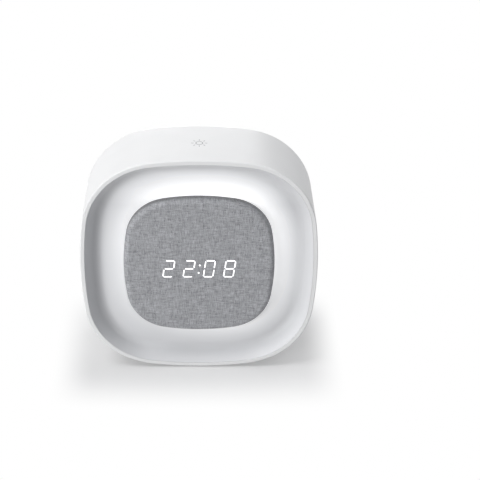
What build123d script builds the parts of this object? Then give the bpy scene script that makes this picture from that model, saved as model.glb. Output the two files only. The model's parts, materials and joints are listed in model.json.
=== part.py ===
from build123d import *

import math
import os

# Drum-shaped body, a squircle of shallow side arcs and tangent corner arcs
BODY_SIZE = 112.0
BODY_DEPTH = 38.0
BODY_SIDE_RADIUS = 189.0
BODY_CORNER_RADIUS = 36.1
SHELL_WALL = 1.95
LIP_ROUND = 0.5
REAR_ROUND = 0.6

# Inner web of the shell, which carries the dish in front and the lamp board behind
WEB_DEPTH = 11.5
WEB_THICK = 2.0
WEB_MARGIN = 0.7

# Feet let into the underside
FOOT_PROUD = 0.5
FOOT_THICK = 1.8
FOOT_WIDTH = 12.0
FOOT_LENGTH = 24.0
FOOT_CORNER = 4.0
FOOT_SPACING = 26.0
FOOT_GAP = 0.1

# Dished diffuser, as a rim, a sloped wall, a cove and a floor that rises to the puck
RECESS_WIDTH = 20.3
DISH_GAP = 0.08
DISH_WALL = 1.8
RIM_DEPTH = 0.15
RIM_LAND = 0.1
WALL_RUN = 4.8
VALLEY_DEPTH = 7.6
CREST_DEPTH = 5.5
CREST_MARGIN = 0.6
COVE_RADIUS = 4.2
DISH_BOSS_INSET = 7.4
DISH_BOSS_RADIUS = 2.3

# Cloth-covered display puck
PUCK_SIDE_RADIUS = 101.0
PUCK_CORNER_RADIUS = 21.3
PUCK_FACE_DEPTH = 0.25
PUCK_ROUND = 2.4
CLOTH_THICK = 0.7
CLOTH_HEM_GAP = 0.15
GLUE_GAP = 0.05
CAP_FACE = 1.2
CAP_WALL = 1.5
CAP_LAND = 1.5
CAP_BOSS_RADIUS = 2.4
SKIRT_GAP = 0.1
SKIRT_SHORT = 0.1
CARRIER_INSET = 0.6
CARRIER_THICK = 1.8
CARRIER_SCREW_INSET = 6.5
TUB_WALL = 1.4
TUB_GAP = 0.3

# Slanted digits and a colon
DIGIT_COUNT = 4
DIGIT_HEIGHT = 8.7
DIGIT_WIDTH = 4.5
DIGIT_PITCH = 9.56
DIGIT_SLANT = 8.0
DIGIT_DROP = 0.72
STROKE = 0.8
STROKE_GAP = 0.2
SEGMENT_FIT = 0.05
COLON_RADIUS = 0.55
COLON_SPREAD = 4.1
DISPLAY_GAP = 0.05
FRAME_MARGIN = 3.2
FRAME_THICK = 5.5
DISPLAY_BOARD_MARGIN = 1.5
DISPLAY_BOARD_THICK = 1.2

# Lamp board behind the dish
LIGHT_BOARD_INSET = 11.0
LIGHT_BOARD_WIDTH = 11.0
LIGHT_BOARD_THICK = 1.2
LIGHT_SCREW_INSET = 13.2
LED_COUNT = 12
LED_INSET = 18.0
LED_LENGTH = 3.5
LED_WIDTH = 2.8
LED_HEIGHT = 0.8

# Rear cover and its screws
COVER_RECESS = 0.6
COVER_THICK = 2.2
COVER_GAP = 0.25
COVER_EDGE_ROUND = 0.4
COVER_SCREW_INSET = 11.2
BOSS_RADIUS = 3.6
COVER_BOSS_HEIGHT = 4.0
RIB_THICK = 1.6
PLUG_RADIUS = 2.4
PLUG_THICK = 1.4
PLUG_GAP = 0.05
PLUG_SINK = 0.1

# Push buttons over their switches, counted from the right seen from the front
BUTTON_NAMES = ("menu", "alarm", "up", "down")
BUTTON_SIZE = 8.1
BUTTON_SIDE_RADIUS = 12.0
BUTTON_CORNER_RADIUS = 2.4
BUTTON_PITCH = 10.8
BUTTON_DROP = 15.5
BUTTON_GAP = 0.3
BUTTON_PROUD = 0.3
BUTTON_ROUND = 0.3
BUTTON_TRAVEL = 0.5
FLANGE_LIP = 0.8
FLANGE_THICK = 1.2
FLANGE_GAP = 0.3
LEG_RADIUS = 1.6
SWITCH_SIZE = 6.0
SWITCH_HEIGHT = 3.5
STEM_RADIUS = 1.7
STEM_GAP = 0.1
STEM_RISE = 1.0
STEM_SINK = 1.6

# Main board on posts of the rear cover
BOARD_BOSS_GAP = 4.9
BOARD_HEIGHT = 32.0
BOARD_DROP = 20.0
BOARD_THICK = 1.6
BOARD_CORNER = 2.0
BOARD_SCREW_MARGIN = 3.5
POST_HEIGHT = 6.8
POST_RADIUS = 2.5
CHIP_SIZE = 9.0
CHIP_HEIGHT = 1.6
CHIP_MARGIN = 16.0
CHIP_DROP = 24.0
BUZZER_RADIUS = 6.0
BUZZER_HEIGHT = 6.0
BUZZER_HOLE = 1.2
BUZZER_MARGIN = 14.0
BUZZER_DROP = 27.5

# Power inlet
USB_WIDTH = 8.94
USB_HEIGHT = 3.26
USB_WALL = 0.3
USB_BASE = 2.0
USB_TONGUE_WIDTH = 6.7
USB_TONGUE_THICK = 0.7
USB_TONGUE_SHORT = 1.0
USB_SIDE = 7.0
USB_DROP = 27.0
USB_GAP = 0.2
USB_SINK = 0.3

# Pouch cell on the cover
BATTERY_BOSS_GAP = 7.9
BATTERY_HEIGHT = 34.0
BATTERY_THICK = 5.0
BATTERY_CORNER = 3.0
BATTERY_ROUND = 1.2
BATTERY_RISE = 19.5
TAPE_THICK = 0.8
TAPE_MARGIN = 4.0
FENCE_GAP = 0.5
FENCE_WALL = 1.2
FENCE_HEIGHT = 3.0

# Touch pad inside the top wall
PAD_WIDTH = 16.0
PAD_LENGTH = 10.0
PAD_THICK = 0.2
PAD_WEB_GAP = 0.5

# Leads and their connectors
LEAD_THICK = 0.8
LEAD_BEND = 2.5
LEAD_STRAIGHT = 0.3
RIBBON_WIDTH = 10.0
RIBBON_DROP = 9.5
LIGHT_LEAD_WIDTH = 2.6
LIGHT_LEAD_MARGIN = 15.0
TOUCH_LEAD_WIDTH = 1.4
TOUCH_LEAD_SIDE = 4.0
SOLDER_GAP = 0.1
BATTERY_LEAD_WIDTH = 2.6
BATTERY_LEAD_SIDE = 10.8
CONNECTOR_MARGIN = 1.0
CONNECTOR_HEIGHT = 3.2
CONNECTOR_LENGTH = 4.0

# Screws
SCREW_FIT = 0.05
HEAD_GAP = 0.2
SHANK_GAP = 0.15
COVER_SHANK = 1.25
COVER_HEAD = 2.1
COVER_HEAD_HEIGHT = 1.6
COVER_SCREW_BITE = 9.0
SMALL_SHANK = 0.9
SMALL_HEAD = 1.8
SMALL_HEAD_HEIGHT = 1.2
DISH_SCREW_BITE = 2.6
CARRIER_SCREW_BITE = 1.6
POST_SCREW_BITE = 4.0
PILOT_SPARE = 0.4

# Levels, as depths behind the front lip
WEB_BACK = WEB_DEPTH + WEB_THICK
LIGHT_BOARD_BACK = WEB_BACK + LIGHT_BOARD_THICK
COVER_BACK = BODY_DEPTH - COVER_RECESS
COVER_FRONT = COVER_BACK - COVER_THICK
BOSS_END = COVER_FRONT - COVER_BOSS_HEIGHT
BOARD_BACK = COVER_FRONT - POST_HEIGHT
BOARD_FRONT = BOARD_BACK - BOARD_THICK
FLANGE_BACK = COVER_FRONT - FLANGE_GAP
FLANGE_FRONT = FLANGE_BACK - FLANGE_THICK
SWITCH_BACK = BOARD_BACK + SWITCH_HEIGHT
STEM_BACK = SWITCH_BACK + STEM_RISE
CAP_DEPTH = PUCK_FACE_DEPTH + CLOTH_THICK + GLUE_GAP
CAP_INNER_DEPTH = CAP_DEPTH + CAP_FACE
FRAME_FRONT = CAP_INNER_DEPTH + DISPLAY_GAP
FRAME_BACK = FRAME_FRONT + FRAME_THICK
DISPLAY_BOARD_BACK = FRAME_BACK + DISPLAY_BOARD_THICK

# Insets from an outline
RIM_INSET = SHELL_WALL + DISH_GAP
DISH_SKIRT_INSET = RIM_INSET + DISH_WALL
VALLEY_INSET = RIM_INSET + RIM_LAND + WALL_RUN
CREST_INSET = RECESS_WIDTH - CREST_MARGIN
WEB_INSET = COVER_SCREW_INSET + BOSS_RADIUS + WEB_MARGIN
CAP_INSET = CLOTH_THICK + GLUE_GAP
CAP_SKIRT_INSET = CAP_INSET + CAP_LAND

# Sizes of the display stack
FRAME_WIDTH = (DIGIT_COUNT - 1) * DIGIT_PITCH + DIGIT_WIDTH + 2 * FRAME_MARGIN
FRAME_HEIGHT = DIGIT_HEIGHT + 2 * FRAME_MARGIN
DISPLAY_BOARD_WIDTH = FRAME_WIDTH + 2 * DISPLAY_BOARD_MARGIN
DISPLAY_BOARD_HEIGHT = FRAME_HEIGHT + 2 * DISPLAY_BOARD_MARGIN
TUB_WIDTH = DISPLAY_BOARD_WIDTH + 2 * TUB_GAP
TUB_HEIGHT = DISPLAY_BOARD_HEIGHT + 2 * TUB_GAP

# The clock is drawn face up, with depths below the face, and then stood on its feet
STANDING = Plane(
    origin=(0, -BODY_DEPTH / 2, FOOT_PROUD + BODY_SIZE / 2), x_dir=(1, 0, 0), z_dir=(0, -1, 0)
).location

BODY = (BODY_SIZE / 2, BODY_SIDE_RADIUS, BODY_CORNER_RADIUS)
PUCK = (BODY_SIZE / 2 - RECESS_WIDTH, PUCK_SIDE_RADIUS, PUCK_CORNER_RADIUS)
BUTTON = (BUTTON_SIZE / 2, BUTTON_SIDE_RADIUS, BUTTON_CORNER_RADIUS)


def corner_centre(form):
    """Distance of a corner arc's centre from each centre line of a squircle."""
    half, side_radius, corner_radius = form
    side_offset = half - side_radius
    reach = side_radius - corner_radius
    return (side_offset + math.sqrt(2 * reach**2 - side_offset**2)) / 2


def outline_arcs(form):
    """Centre, radius, start angle and span of the eight tangent arcs of a squircle."""
    half, side_radius, corner_radius = form
    side_offset = half - side_radius
    corner_offset = corner_centre(form)
    turn = math.degrees(math.atan2(corner_offset, corner_offset - side_offset))
    arcs = []
    for quarter in (0, 90, 180, 270):
        side_centre = Vector(side_offset, 0, 0).rotate(Axis.Z, quarter)
        corner = Vector(corner_offset, corner_offset, 0).rotate(Axis.Z, quarter)
        arcs.append((side_centre, side_radius, quarter - turn, 2 * turn))
        arcs.append((corner, corner_radius, quarter + turn, 90 - 2 * turn))
    return arcs


def outline(form, inset=0.0):
    """Face inside a squircle, drawn in by the same distance all round."""
    arcs = [
        CenterArc(centre, radius - inset, start, span) for centre, radius, start, span in outline_arcs(form)
    ]
    return make_face(arcs)


def corner_points(form, inset):
    """The four points that lie on the diagonals at a given distance inside a squircle."""
    reach = corner_centre(form) + (form[2] - inset) / math.sqrt(2)
    return [(x * reach, y * reach) for x in (-1, 1) for y in (-1, 1)]


def side_points(form, inset):
    """The four points in the middle of the sides at a given distance inside a squircle."""
    reach = form[0] - inset
    return [(reach, 0), (0, reach), (-reach, 0), (0, -reach)]


def profile(*points):
    """Section face from corners given as inset and depth."""
    return make_face(Polyline(*[(-inset, -depth) for inset, depth in points], close=True))


def rounded(section, inset, depth, radius):
    """Round the corner of a section that lies nearest to an inset and depth."""
    return fillet(section.vertices().sort_by_distance((-inset, -depth))[0], radius)


def swept_round(section, form):
    """Turn a section about the centre of each outline arc in turn, so that it runs all the way round."""
    ring = Part()
    for centre, radius, start, span in outline_arcs(form):
        radial = Vector(1, 0, 0).rotate(Axis.Z, start)
        upright = Plane(origin=centre, x_dir=radial, z_dir=radial.cross(Vector(0, 0, 1)))
        sector = upright.location * Pos(radius, 0, 0) * section
        ring += revolve(sector, Axis(centre, (0, 0, 1)), span)
    return ring


def slab(face, front, back):
    """Plate between two depths."""
    return extrude(Pos(0, 0, -front) * face, amount=back - front, dir=(0, 0, -1))


def rod(place, radius, front, back):
    """Cylinder between two depths."""
    x, y = place
    return Pos(x, y, -(front + back) / 2) * Cylinder(radius, back - front)


def rods(places, radius, front, back):
    """Equal cylinders at several places."""
    return [rod(place, radius, front, back) for place in places]


def block(place, width, height, front, back):
    """Rectangular block between two depths."""
    x, y = place
    return Pos(x, y, -(front + back) / 2) * Box(width, height, back - front)


def screw(place, shank, head, head_height, seat, tip):
    """Pan-head screw with its head on the seat depth and its tip at another."""
    inwards = math.copysign(1, tip - seat)
    head_end = seat - inwards * head_height
    drive = rod(place, shank / 2, *sorted((head_end, head_end + inwards * head_height / 2)))
    body = rod(place, head, *sorted((head_end, seat))) + rod(place, shank, *sorted((seat, tip)))
    return body - drive


def foot_faces(gap):
    """Outlines of both feet on the plane that the clock stands on, with a gap all round."""
    faces = []
    for x in (-FOOT_SPACING / 2, FOOT_SPACING / 2):
        floor = Plane(
            origin=(x, -BODY_SIZE / 2 - FOOT_PROUD, -BODY_DEPTH / 2), x_dir=(1, 0, 0), z_dir=(0, 1, 0)
        )
        shape = RectangleRounded(FOOT_WIDTH + 2 * gap, FOOT_LENGTH + 2 * gap, FOOT_CORNER + gap)
        faces.append(floor.location * shape)
    return faces


def foot_pads(gap=0.0):
    """Both feet, or the pockets that hold them."""
    return [extrude(face, amount=FOOT_THICK, dir=(0, 1, 0)) for face in foot_faces(gap)]


COVER_SCREWS = corner_points(BODY, COVER_SCREW_INSET)
DISH_SCREWS = side_points(BODY, DISH_BOSS_INSET)
LIGHT_SCREWS = side_points(BODY, LIGHT_SCREW_INSET)
CARRIER_SCREWS = corner_points(PUCK, CARRIER_SCREW_INSET)
BOSS_REACH = max(x for x, y in COVER_SCREWS)
BOARD_WIDTH = 2 * (BOSS_REACH - BOSS_RADIUS - BOARD_BOSS_GAP)
BATTERY_WIDTH = 2 * (BOSS_REACH - BOSS_RADIUS - BATTERY_BOSS_GAP)
BOARD_SCREWS = [
    (x * (BOARD_WIDTH / 2 - BOARD_SCREW_MARGIN), y * (BOARD_HEIGHT / 2 - BOARD_SCREW_MARGIN) - BOARD_DROP)
    for x in (-1, 1)
    for y in (-1, 1)
]
BUTTON_PLACES = {
    name: (((len(BUTTON_NAMES) - 1) / 2 - number) * BUTTON_PITCH, -BUTTON_DROP)
    for number, name in enumerate(BUTTON_NAMES)
}
USB_PLACE = (-USB_SIDE, -USB_DROP)
BATTERY_PLACE = (0, BATTERY_RISE)
DISPLAY_PLACE = (0, -DIGIT_DROP)


def outer_shell():
    """Drum with a rounded front lip, an inner web and four ribbed screw bosses."""
    wall = profile((0, 0), (SHELL_WALL, 0), (SHELL_WALL, BODY_DEPTH), (0, BODY_DEPTH))
    wall = rounded(wall, 0, 0, LIP_ROUND)
    wall = rounded(wall, 0, BODY_DEPTH, REAR_ROUND)
    web = profile(
        (SHELL_WALL, WEB_DEPTH), (WEB_INSET, WEB_DEPTH), (WEB_INSET, WEB_BACK), (SHELL_WALL, WEB_BACK)
    )
    shell = swept_round(wall + web, BODY)
    inside = slab(outline(BODY, SHELL_WALL), WEB_DEPTH, BOSS_END)
    for place in COVER_SCREWS:
        angle = math.degrees(math.atan2(place[1], place[0]))
        x, y = place
        strip = Rectangle(BODY_SIZE, RIB_THICK, align=(Align.MIN, Align.CENTER))
        rib = Pos(x, y, 0) * Rot(0, 0, angle) * strip
        shell += slab(rib, WEB_DEPTH, BOSS_END) & inside
        shell += rod(place, BOSS_RADIUS, WEB_DEPTH, BOSS_END)
    shell -= rods(COVER_SCREWS, COVER_SHANK + SCREW_FIT, BOSS_END - COVER_SCREW_BITE - PILOT_SPARE, BOSS_END)
    shell -= rods(DISH_SCREWS, SMALL_SHANK + SHANK_GAP, WEB_DEPTH, WEB_BACK)
    shell -= rods(LIGHT_SCREWS, SMALL_SHANK + SCREW_FIT, WEB_DEPTH, WEB_BACK)
    shell -= foot_pads(FOOT_GAP)
    return shell


def dish_front():
    """Corners of the lit face of the dish from its rim to the puck, as inset and depth."""
    return (
        (RIM_INSET + RIM_LAND, RIM_DEPTH),
        (VALLEY_INSET, VALLEY_DEPTH),
        (CREST_INSET, CREST_DEPTH),
    )


def reflector_dish():
    """Diffuser with an even wall: skirt, sloped wall, cove and rising floor round the puck."""
    rim, valley, crest = dish_front()
    slope = math.atan2(valley[1] - rim[1], valley[0] - rim[0])
    rise = math.atan2(valley[1] - crest[1], crest[0] - valley[0])
    wall_back = Vector(-math.sin(slope), math.cos(slope))
    floor_back = Vector(math.sin(rise), math.cos(rise))
    mitre = (wall_back + floor_back) * (DISH_WALL / (1 + wall_back.dot(floor_back)))
    back_valley = (valley[0] + mitre.X, valley[1] + mitre.Y)
    groove = back_valley[1] - (back_valley[0] - DISH_SKIRT_INSET) * math.tan(slope)
    plate_back = CREST_DEPTH + DISH_WALL / math.cos(rise)
    section = profile(
        (RIM_INSET, RIM_DEPTH),
        rim,
        valley,
        crest,
        (CREST_INSET, plate_back),
        back_valley,
        (DISH_SKIRT_INSET, groove),
        (DISH_SKIRT_INSET, WEB_DEPTH),
        (RIM_INSET, WEB_DEPTH),
    )
    section = rounded(section, *valley, COVE_RADIUS)
    section = rounded(section, *back_valley, COVE_RADIUS + DISH_WALL)
    lit_space = rounded(profile(rim, valley, crest, (CREST_INSET, RIM_DEPTH)), *valley, COVE_RADIUS)
    bosses = Part() + rods(DISH_SCREWS, DISH_BOSS_RADIUS, RIM_DEPTH, WEB_DEPTH)
    dish = swept_round(section, BODY) + slab(outline(BODY, CREST_INSET), CREST_DEPTH, plate_back)
    dish += bosses - swept_round(lit_space, BODY)
    dish -= slab(outline(PUCK, CAP_SKIRT_INSET - SKIRT_GAP), CREST_DEPTH, plate_back)
    pilot = WEB_DEPTH - DISH_SCREW_BITE - PILOT_SPARE
    return dish - rods(DISH_SCREWS, SMALL_SHANK + SCREW_FIT, pilot, WEB_DEPTH), plate_back


DISH, DISH_PLATE_BACK = reflector_dish()
CARRIER_BACK = DISH_PLATE_BACK + CARRIER_THICK
SKIRT_END = DISH_PLATE_BACK - SKIRT_SHORT


def dome(inset, front, back, edge_round):
    """Puck-shaped slab with its front edge rounded."""
    solid = slab(outline(PUCK, inset), front, back)
    return fillet(solid.edges().group_by(Axis.Z)[-1], edge_round)


def fabric_cover():
    """Cloth stretched over the face and sides of the display cap."""
    hem = CREST_DEPTH - CLOTH_HEM_GAP
    cloth = dome(0, PUCK_FACE_DEPTH, hem, PUCK_ROUND)
    return cloth - dome(CLOTH_THICK, PUCK_FACE_DEPTH + CLOTH_THICK, hem, PUCK_ROUND - CLOTH_THICK)


def display_cap():
    """Cup under the cloth, seated on the dish, with a skirt through it and four screw bosses."""
    cap = dome(CAP_INSET, CAP_DEPTH, CREST_DEPTH, PUCK_ROUND - CAP_INSET)
    cap += slab(outline(PUCK, CAP_SKIRT_INSET), CREST_DEPTH, SKIRT_END)
    cap -= slab(outline(PUCK, CAP_SKIRT_INSET + CAP_WALL), CAP_INNER_DEPTH, SKIRT_END)
    cap += rods(CARRIER_SCREWS, CAP_BOSS_RADIUS, CAP_INNER_DEPTH, SKIRT_END)
    pilot = SKIRT_END - CARRIER_SCREW_BITE - PILOT_SPARE
    return cap - rods(CARRIER_SCREWS, SMALL_SHANK + SCREW_FIT, pilot, SKIRT_END)


def display_carrier():
    """Plate that clamps the puck to the dish, with a tub for the display."""
    x, y = DISPLAY_PLACE
    tub = Pos(x, y) * Rectangle(TUB_WIDTH + 2 * TUB_WALL, TUB_HEIGHT + 2 * TUB_WALL)
    carrier = slab(outline(PUCK, CARRIER_INSET), DISH_PLATE_BACK, CARRIER_BACK)
    carrier += slab(tub, DISH_PLATE_BACK, DISPLAY_BOARD_BACK + TUB_WALL)
    carrier -= block(DISPLAY_PLACE, TUB_WIDTH, TUB_HEIGHT, DISH_PLATE_BACK, DISPLAY_BOARD_BACK)
    slot_width = RIBBON_WIDTH + 2 * TUB_GAP
    slot_height = LEAD_THICK + 2 * TUB_GAP
    carrier -= block(
        (0, -RIBBON_DROP), slot_width, slot_height, DISPLAY_BOARD_BACK, DISPLAY_BOARD_BACK + TUB_WALL
    )
    return carrier - rods(CARRIER_SCREWS, SMALL_SHANK + SHANK_GAP, DISH_PLATE_BACK, CARRIER_BACK)


def stroke(start, end, grow):
    """One display segment with pointed ends, sheared to the slant of the digits."""
    along = (Vector(*end) - Vector(*start)).normalized()
    across = Vector(-along.Y, along.X) * (STROKE / 2 + grow)
    tip = STROKE_GAP - grow
    first = Vector(*start) + along * tip
    last = Vector(*end) - along * tip
    inset = along * (STROKE / 2 + grow)
    upper = (first + inset + across, last - inset + across)
    lower = (last - inset - across, first + inset - across)
    corners = (first, *upper, last, *lower)
    lean = math.tan(math.radians(DIGIT_SLANT))
    return make_face(Polyline(*[(p.X + p.Y * lean, p.Y) for p in corners], close=True))


def digit_faces(grow=0.0):
    """Faces of every segment and colon dot, each grown by a margin."""
    half_width = DIGIT_WIDTH / 2
    half_height = DIGIT_HEIGHT / 2
    faces = []
    for number in range(DIGIT_COUNT):
        centre = Pos((number - (DIGIT_COUNT - 1) / 2) * DIGIT_PITCH, -DIGIT_DROP)
        bars = [((-half_width, y), (half_width, y)) for y in (-half_height, 0, half_height)]
        posts = [((x, y), (x, y + half_height)) for x in (-half_width, half_width) for y in (-half_height, 0)]
        faces += [centre * stroke(start, end, grow) for start, end in bars + posts]
    lean = math.tan(math.radians(DIGIT_SLANT))
    for y in (-COLON_SPREAD / 2, COLON_SPREAD / 2):
        faces.append(Pos(y * lean, y - DIGIT_DROP) * Circle(COLON_RADIUS + grow))
    return faces


def segment_frame():
    """Opaque block with a light well for every segment."""
    frame = block(DISPLAY_PLACE, FRAME_WIDTH, FRAME_HEIGHT, FRAME_FRONT, FRAME_BACK)
    return frame - [slab(face, FRAME_FRONT, FRAME_BACK) for face in digit_faces(SEGMENT_FIT)]


def digit_segments():
    """Light pipes that fill the wells of the frame."""
    return [slab(face, FRAME_FRONT, FRAME_BACK) for face in digit_faces()]


def light_board():
    """Ring board screwed to the back of the web, notched round the cover bosses."""
    ring = outline(BODY, LIGHT_BOARD_INSET) - outline(BODY, LIGHT_BOARD_INSET + LIGHT_BOARD_WIDTH)
    board = slab(ring, WEB_BACK, LIGHT_BOARD_BACK)
    board -= rods(COVER_SCREWS, BOSS_RADIUS + HEAD_GAP, WEB_BACK, LIGHT_BOARD_BACK)
    return board - rods(LIGHT_SCREWS, SMALL_SHANK + SHANK_GAP, WEB_BACK, LIGHT_BOARD_BACK)


def ring_leds():
    """Lamps on the front of the ring board, evenly turned between the four screws."""
    leds = []
    for number in range(LED_COUNT):
        angle = (number + 0.5) * 360 / LED_COUNT
        ray = Edge.make_line((0, 0), Vector(BODY_SIZE, 0).rotate(Axis.Z, angle))
        reach = (ray & outline(BODY, LED_INSET).face()).length
        lamp = Rot(0, 0, angle) * Pos(reach, 0) * Rectangle(LED_WIDTH, LED_LENGTH)
        leds.append(slab(lamp, WEB_BACK - LED_HEIGHT, WEB_BACK))
    return leds


def battery_fence():
    """Low wall on the rear cover that keeps the cell in place."""
    inner_width = BATTERY_WIDTH + 2 * FENCE_GAP
    inner_height = BATTERY_HEIGHT + 2 * FENCE_GAP
    fence = block(
        BATTERY_PLACE,
        inner_width + 2 * FENCE_WALL,
        inner_height + 2 * FENCE_WALL,
        COVER_FRONT - FENCE_HEIGHT,
        COVER_FRONT,
    )
    fence -= block(BATTERY_PLACE, inner_width, inner_height, COVER_FRONT - FENCE_HEIGHT, COVER_FRONT)
    gap = BATTERY_LEAD_WIDTH + 2 * CONNECTOR_MARGIN
    notch = (BATTERY_LEAD_SIDE, BATTERY_RISE - BATTERY_HEIGHT / 2)
    return fence - block(notch, gap, 2 * (FENCE_GAP + FENCE_WALL), COVER_FRONT - FENCE_HEIGHT, COVER_FRONT)


def rear_cover():
    """Panel inside the rear lip, with screw wells, board posts and openings for the controls."""
    cover = slab(outline(BODY, SHELL_WALL + COVER_GAP), COVER_FRONT, COVER_BACK)
    cover = fillet(cover.edges().group_by(Axis.Z)[0], COVER_EDGE_ROUND)
    cover += rods(COVER_SCREWS, BOSS_RADIUS, BOSS_END, COVER_FRONT)
    cover += rods(BOARD_SCREWS, POST_RADIUS, BOARD_BACK, COVER_FRONT)
    cover += battery_fence()
    plug_seat = COVER_BACK - PLUG_SINK - PLUG_THICK
    head_seat = plug_seat - COVER_HEAD_HEIGHT
    cover -= rods(COVER_SCREWS, PLUG_RADIUS + PLUG_GAP, plug_seat, COVER_BACK)
    cover -= rods(COVER_SCREWS, COVER_HEAD + HEAD_GAP, head_seat, plug_seat)
    cover -= rods(COVER_SCREWS, COVER_SHANK + SHANK_GAP, BOSS_END, head_seat)
    post_pilot = BOARD_BACK + POST_SCREW_BITE + PILOT_SPARE
    cover -= rods(BOARD_SCREWS, SMALL_SHANK + SCREW_FIT, BOARD_BACK, post_pilot)
    for x, y in BUTTON_PLACES.values():
        cover -= slab(Pos(x, y) * outline(BUTTON, -BUTTON_GAP), COVER_FRONT, COVER_BACK)
    x, y = USB_PLACE
    inlet = Pos(x, y) * SlotOverall(USB_WIDTH + 2 * USB_GAP, USB_HEIGHT + 2 * USB_GAP)
    return cover - slab(inlet, COVER_FRONT, COVER_BACK), plug_seat, head_seat


COVER, PLUG_SEAT, HEAD_SEAT = rear_cover()


def push_button(place):
    """Squircle key with a flange behind the cover and a leg to its switch."""
    x, y = place
    key_back = COVER_BACK + BUTTON_PROUD
    key = slab(Pos(x, y) * outline(BUTTON), FLANGE_BACK, key_back)
    key = fillet(key.edges().group_by(Axis.Z)[0], BUTTON_ROUND)
    flange = slab(Pos(x, y) * outline(BUTTON, -BUTTON_GAP - FLANGE_LIP), FLANGE_FRONT, FLANGE_BACK)
    return key + flange + rod(place, LEG_RADIUS, STEM_BACK, FLANGE_FRONT)


def switch_bodies():
    """Tactile switches on the main board, bored for their stems."""
    bodies = []
    for place in BUTTON_PLACES.values():
        body = block(place, SWITCH_SIZE, SWITCH_SIZE, BOARD_BACK, SWITCH_BACK)
        well = SWITCH_BACK - STEM_SINK - BUTTON_TRAVEL - STEM_GAP
        bodies.append(body - rod(place, STEM_RADIUS + STEM_GAP, well, SWITCH_BACK))
    return bodies


def usb_socket():
    """Metal sleeve with a base and a contact tongue."""
    x, y = USB_PLACE
    sleeve_end = COVER_BACK - USB_SINK
    sleeve = slab(Pos(x, y) * SlotOverall(USB_WIDTH, USB_HEIGHT), BOARD_BACK, sleeve_end)
    bore = Pos(x, y) * SlotOverall(USB_WIDTH - 2 * USB_WALL, USB_HEIGHT - 2 * USB_WALL)
    sleeve -= slab(bore, BOARD_BACK + USB_BASE, sleeve_end)
    return sleeve + block(
        USB_PLACE, USB_TONGUE_WIDTH, USB_TONGUE_THICK, BOARD_BACK + USB_BASE, sleeve_end - USB_TONGUE_SHORT
    )


def main_board():
    """Control board, screwed to the posts of the cover."""
    face = Pos(0, -BOARD_DROP) * RectangleRounded(BOARD_WIDTH, BOARD_HEIGHT, BOARD_CORNER)
    board = slab(face, BOARD_FRONT, BOARD_BACK)
    return board - rods(BOARD_SCREWS, SMALL_SHANK + SHANK_GAP, BOARD_FRONT, BOARD_BACK)


def buzzer():
    """Round sounder with its port at the back."""
    place = (BOARD_WIDTH / 2 - BUZZER_MARGIN, -BUZZER_DROP)
    top = BOARD_BACK + BUZZER_HEIGHT
    can = rod(place, BUZZER_RADIUS, BOARD_BACK, top)
    return can - rod(place, BUZZER_HOLE, top - BUZZER_HEIGHT / 2, top)


def battery_cell():
    """Pouch cell with rounded edges."""
    x, y = BATTERY_PLACE
    face = Pos(x, y) * RectangleRounded(BATTERY_WIDTH, BATTERY_HEIGHT, BATTERY_CORNER)
    back = COVER_FRONT - TAPE_THICK
    cell = slab(face, back - BATTERY_THICK, back)
    return fillet(cell.edges().group_by(Axis.Z)[-1], BATTERY_ROUND)


def touch_pad():
    """Foil that follows the inside of the top wall."""
    foil = outline(BODY, SHELL_WALL) - outline(BODY, SHELL_WALL + PAD_THICK)
    foil &= Pos(0, BODY_SIZE / 2) * Rectangle(PAD_WIDTH, BODY_SIZE / 2)
    front = WEB_BACK + PAD_WEB_GAP
    return slab(foil, front, front + PAD_LENGTH)


def lead(side, width, *route):
    """Flat lead that follows a route of heights and depths in an upright plane."""
    points = [Vector(height, -depth) for height, depth in route]
    legs = [(end - start).length for start, end in zip(points, points[1:])]
    room = min(legs[0], legs[-1], *[leg / 2 for leg in legs[1:-1]])
    path = FilletPolyline(*points, radius=min(LEAD_BEND, room - LEAD_STRAIGHT))
    upright = Plane(origin=(side - width / 2, 0, 0), x_dir=(0, 1, 0), z_dir=(1, 0, 0))
    return extrude(upright.location * trace(path, LEAD_THICK), amount=width, dir=(1, 0, 0))


CONNECTOR_FRONT = BOARD_FRONT - CONNECTOR_HEIGHT
LEAD_SPACE_MIDDLE = (LIGHT_BOARD_BACK + CONNECTOR_FRONT) / 2
BOARD_TOP = BOARD_HEIGHT / 2 - BOARD_DROP
LIGHT_LEAD_SIDE = BOARD_WIDTH / 2 - LIGHT_LEAD_MARGIN
LIGHT_PLUG_DROP = BOARD_DROP + BOARD_HEIGHT / 2 - CONNECTOR_LENGTH
TOUCH_PLUG_DROP = CONNECTOR_LENGTH - BOARD_TOP
RIBBON_PLUG_DROP = RIBBON_DROP + 2 * LEAD_BEND + LEAD_THICK
LIGHT_TAIL_DROP = BODY_SIZE / 2 - LIGHT_BOARD_INSET - LIGHT_BOARD_WIDTH / 2
BATTERY_LEAD_DEPTH = COVER_FRONT - TAPE_THICK - BATTERY_THICK / 2
BATTERY_PLUG_DROP = CONNECTOR_LENGTH - BOARD_TOP


def display_ribbon():
    """Flat cable from the display board to the main board."""
    bend_depth = (DISPLAY_BOARD_BACK + CONNECTOR_FRONT) / 2
    return lead(
        0,
        RIBBON_WIDTH,
        (-RIBBON_DROP, DISPLAY_BOARD_BACK),
        (-RIBBON_DROP, bend_depth),
        (-RIBBON_PLUG_DROP, bend_depth),
        (-RIBBON_PLUG_DROP, CONNECTOR_FRONT),
    )


def light_lead():
    """Flat lead from the lamp board to the main board."""
    return lead(
        LIGHT_LEAD_SIDE,
        LIGHT_LEAD_WIDTH,
        (-LIGHT_TAIL_DROP, LIGHT_BOARD_BACK),
        (-LIGHT_TAIL_DROP, LEAD_SPACE_MIDDLE),
        (-LIGHT_PLUG_DROP, LEAD_SPACE_MIDDLE),
        (-LIGHT_PLUG_DROP, CONNECTOR_FRONT),
    )


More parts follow.
